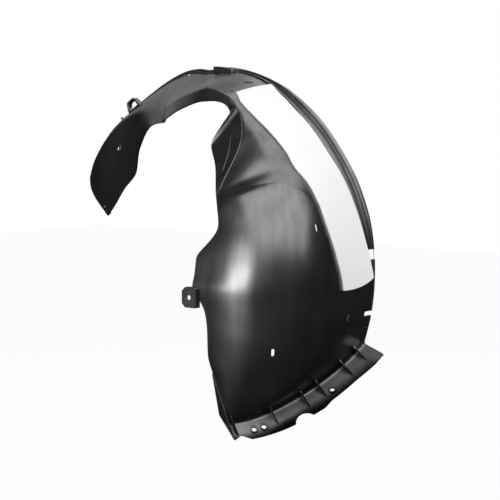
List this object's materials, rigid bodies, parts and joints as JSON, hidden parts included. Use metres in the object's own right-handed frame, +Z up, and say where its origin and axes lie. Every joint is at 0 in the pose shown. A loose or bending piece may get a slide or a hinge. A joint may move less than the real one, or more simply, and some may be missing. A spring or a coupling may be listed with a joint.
{
  "type": "wheel arch liner",
  "caption": "Moulded plastic wheel arch liner with a white foam strip along the arch, end flange with ribs, clip hood and side fixing tab.",
  "frame": {"origin": "middle of the hole through the side tab, on the inboard wall", "axes": "+X forward along the car, +Y outboard towards the wheel opening, +Z up"},
  "size_m": [0.6876, 0.2597, 0.6164],
  "materials": {
    "liner": "satin moulded polypropylene",
    "foam": "matt closed-cell foam"
  },
  "bodies": {
    "root": {"liner": "liner", "foam_strip": "foam"}
  },
  "joints": []
}
